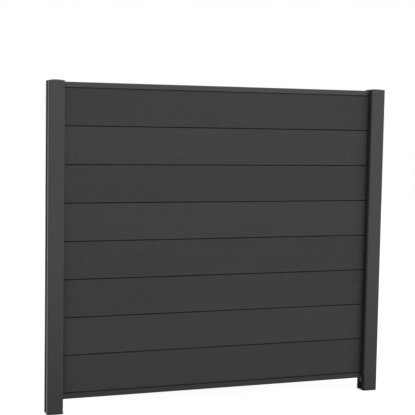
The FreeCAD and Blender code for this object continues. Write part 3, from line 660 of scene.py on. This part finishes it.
def add_socket(tree, name, kind, value=None):
    """One named input of the rule, with the value it has until a piece sets another."""
    socket = tree.interface.new_socket(name=name, in_out="INPUT", socket_type="NodeSocket" + kind)
    if value is not None:
        socket.default_value = value


def build_screw_rule():
    """One screw on every point of the base mesh, each turned by chance about its own axis."""
    tree = bpy.data.node_groups.new("self_tapping_screws", "GeometryNodeTree")
    add_socket(tree, "Points", "Geometry")
    for label, value in SCREW_SIZES.items():
        add_socket(tree, label, "Float", value)
    add_socket(tree, "Seed", "Int", SPIN_SEED)
    add_socket(tree, "Finish", "Material")
    tree.interface.new_socket(name="Screws", in_out="OUTPUT", socket_type="NodeSocketGeometry")
    given = tree.nodes.new("NodeGroupInput").outputs

    sheet, turn_share, row = screw_sheet(tree, given)
    depth, turn, deep = screw_depth(tree, given, turn_share, row)
    radius = screw_radius(tree, given, turn_share, row, turn, deep)
    screw = roll_up(tree, sheet, turn_share, depth, radius)

    heading = add_node(tree, "GeometryNodeInputNamedAttribute", {"Name": "points_to"},
                       data_type="FLOAT_VECTOR").outputs["Attribute"]
    turned = add_node(tree, "FunctionNodeAlignRotationToVector", {"Vector": heading}, axis="Z")
    placed = add_node(tree, "GeometryNodeInstanceOnPoints", {
        "Points": given["Points"], "Instance": screw, "Rotation": turned.outputs[0]})
    chance = add_node(tree, "FunctionNodeRandomValue", {"Seed": given["Seed"]}, data_type="FLOAT")
    spin = do_sum(tree, "MULTIPLY", chance.outputs[1], math.tau)
    about_axis = add_node(tree, "ShaderNodeCombineXYZ", {"Z": spin})
    spun = add_node(tree, "GeometryNodeRotateInstances", {
        "Instances": placed.outputs[0], "Rotation": about_axis.outputs[0], "Local Space": True})
    real = add_node(tree, "GeometryNodeRealizeInstances", {"Geometry": spun.outputs[0]})
    finished = add_node(tree, "GeometryNodeSetMaterial", {
        "Geometry": real.outputs[0], "Material": given["Finish"]})
    output = tree.nodes.new("NodeGroupOutput")
    tree.links.new(finished.outputs[0], output.inputs["Screws"])
    return tree


SCREW_RULE = build_screw_rule()
print("screw rule has %d nodes" % len(SCREW_RULE.nodes))


# %% [markdown]
# ## Set the screws in their holes
#
# A base mesh holds nothing but one point for each head and, on each point, the direction that
# the tip looks in. Where the holes are is read from the box of the loaded screws, so the new
# ones sit exactly where the holes were drilled. A fitter never stops two drives at the same
# angle, and so each screw is turned by chance about its own axis.

# %% Set the screws
SUPPORT_SCREW_LENGTH = 33.0 * MM


def set_screws(name, replaced, heads, length):
    """Make one body of screws from a list of places and directions."""
    mesh = bpy.data.meshes.new(name + "_places")
    mesh.from_pydata([place for place, _ in heads], [], [])
    attribute = mesh.attributes.new("points_to", "FLOAT_VECTOR", "POINT")
    for index, (_, direction) in enumerate(heads):
        attribute.data[index].vector = direction
    piece = bpy.data.objects.new(name, mesh)
    bpy.context.scene.collection.objects.link(piece)
    rule = piece.modifiers.new("screw_rule", "NODES")
    rule.node_group = SCREW_RULE
    sockets = {item.name: item.identifier for item in SCREW_RULE.interface.items_tree
               if item.in_out == "INPUT"}
    rule[sockets["Length"]] = length
    rule[sockets["Seed"]] = SPIN_SEED
    rule[sockets["Finish"]] = STAINLESS
    bpy.context.view_layer.update()
    graph = bpy.context.evaluated_depsgraph_get()
    plain = bpy.data.meshes.new_from_object(piece.evaluated_get(graph), depsgraph=graph)
    piece.modifiers.remove(rule)
    plain.name = name
    piece.data = plain
    bpy.data.meshes.remove(mesh)
    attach(piece, "root")
    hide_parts(replaced)
    print("%s: %d screws, %d faces" % (name, len(heads), len(plain.polygons)))


low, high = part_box("rail_screws")
back = high.y
rail_heads = [((x, back, z), (0.0, -1.0, 0.0))
              for x in (low.x + HEAD_RADIUS, high.x - HEAD_RADIUS)
              for z in (low.z + HEAD_RADIUS, high.z - HEAD_RADIUS)]
set_screws("threaded_rail_screws", "rail_screws", rail_heads, high.y - low.y)

low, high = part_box("support_screws")
middle_y = (low.y + high.y) / 2
middle_z = (low.z + high.z) / 2
inner_x = high.x - SUPPORT_SCREW_LENGTH
support_heads = [((side * inner_x, middle_y, middle_z), (side, 0.0, 0.0)) for side in (-1.0, 1.0)]
set_screws("threaded_support_screws", "support_screws", support_heads, SUPPORT_SCREW_LENGTH)


# %% [markdown]
# ## Light and floor
#
# The picture is a plain studio shot on white. The main light stands far off to the right and
# in front, as wide as a bright overcast sky, and lights the faces evenly. A long softbox hangs
# above the front and makes the upper part of the screen a little brighter than its foot. A
# tall narrow light stands behind the left post, and draws a pale line down its outer side
# without reaching the front. The rest is even light from all round.
#
# The background is white only for the camera and for reflections. The light that falls on the
# screen stays at a plain level, so a colour looks about as bright as its number says. The
# floor adds white for the camera to its own shaded grey, so it is white but keeps the soft
# shadow of the posts. Inside the slots at the posts' feet it adds none, because hardly any
# light gets in there.

# %% Studio
AMBIENT = 0.50
FLOOR_HALF = 14.0
FLOOR_GREY = 0.4
FLOOR_GLOW = 0.82
SLOT_REACH = 80.0 * MM


def seen_directly(tree):
    """One for rays from the camera, from a mirror or through glass, and zero for all others."""
    path = add_node(tree, "ShaderNodeLightPath").outputs
    direct = do_sum(tree, "MAXIMUM", path["Is Camera Ray"], path["Is Glossy Ray"])
    return do_sum(tree, "MAXIMUM", direct, path["Is Transmission Ray"])


def light_the_room():
    """An even white room: bright where it is seen, and dimmer as a light."""
    world = bpy.data.worlds.new("studio")
    world.use_nodes = True
    tree = world.node_tree
    tree.nodes.clear()
    strength = spread(tree, seen_directly(tree), 0.0, 1.0, AMBIENT, 1.0)
    background = add_node(tree, "ShaderNodeBackground", {"Strength": strength})
    background.inputs["Color"].default_value = (1.0, 1.0, 1.0, 1.0)
    output = add_node(tree, "ShaderNodeOutputWorld")
    tree.links.new(background.outputs[0], output.inputs[0])
    bpy.context.scene.world = world


def lay_floor():
    """A wide grey floor that looks white, but keeps its shadows."""
    mesh = bpy.data.meshes.new("floor")
    corners = [(-FLOOR_HALF, -FLOOR_HALF, 0), (FLOOR_HALF, -FLOOR_HALF, 0),
               (FLOOR_HALF, FLOOR_HALF, 0), (-FLOOR_HALF, FLOOR_HALF, 0)]
    mesh.from_pydata(corners, [], [(0, 1, 2, 3)])
    material = bpy.data.materials.new("floor")
    material.use_nodes = True
    tree = material.node_tree
    tree.nodes.clear()
    shaded = add_node(tree, "ShaderNodeBsdfDiffuse", {"Color": grey(FLOOR_GREY)})
    # Painted shade on the floor: the added white fades where the floor sees little open air, so the
    # slots at the feet stay dark.
    air = add_node(tree, "ShaderNodeAmbientOcclusion", {"Distance": SLOT_REACH}, samples=8)
    open_floor = spread(tree, air.outputs["AO"], 0.40, 0.62)
    shown = do_sum(tree, "MULTIPLY", seen_directly(tree), FLOOR_GLOW)
    glow = do_sum(tree, "MULTIPLY", shown, open_floor)
    white = add_node(tree, "ShaderNodeEmission", {"Color": grey(1.0), "Strength": glow})
    added = add_node(tree, "ShaderNodeAddShader", {0: shaded.outputs[0], 1: white.outputs[0]})
    output = add_node(tree, "ShaderNodeOutputMaterial")
    tree.links.new(added.outputs[0], output.inputs[0])
    mesh.materials.append(material)
    floor = bpy.data.objects.new("floor", mesh)
    bpy.context.scene.collection.objects.link(floor)


def hang_softbox(name, place, target, width, height, watts):
    """A rectangular light that looks from its place to its target."""
    light = bpy.data.lights.new(name, "AREA")
    light.shape = "RECTANGLE"
    light.size = width
    light.size_y = height
    light.energy = watts
    box = bpy.data.objects.new(name, light)
    box.location = place
    box.rotation_euler = (Vector(target) - Vector(place)).to_track_quat("-Z", "Y").to_euler()
    box.visible_camera = False
    bpy.context.scene.collection.objects.link(box)


def hang_key_light(strength, place, spread_degrees):
    """The far main light. Its direction is from its place to the middle of the floor."""
    light = bpy.data.lights.new("key_light", "SUN")
    light.energy = strength
    light.angle = math.radians(spread_degrees)
    key = bpy.data.objects.new("key_light", light)
    key.rotation_euler = (-Vector(place)).to_track_quat("-Z", "Y").to_euler()
    bpy.context.scene.collection.objects.link(key)


light_the_room()
lay_floor()
hang_key_light(strength=1.5, place=(5.0, -6.0, 4.5), spread_degrees=60.0)
hang_softbox("front_softbox", place=(0.3, -3.6, 4.4), target=(0.0, 0.0, 1.6),
             width=4.5, height=1.6, watts=70.0)
hang_softbox("left_back_strip", place=(-2.0, 0.3, 1.0), target=(-1.0, 0.0, 0.9),
             width=0.3, height=2.2, watts=6.0)
view = bpy.context.scene.view_settings
view.view_transform = "Standard"
print("studio ready")
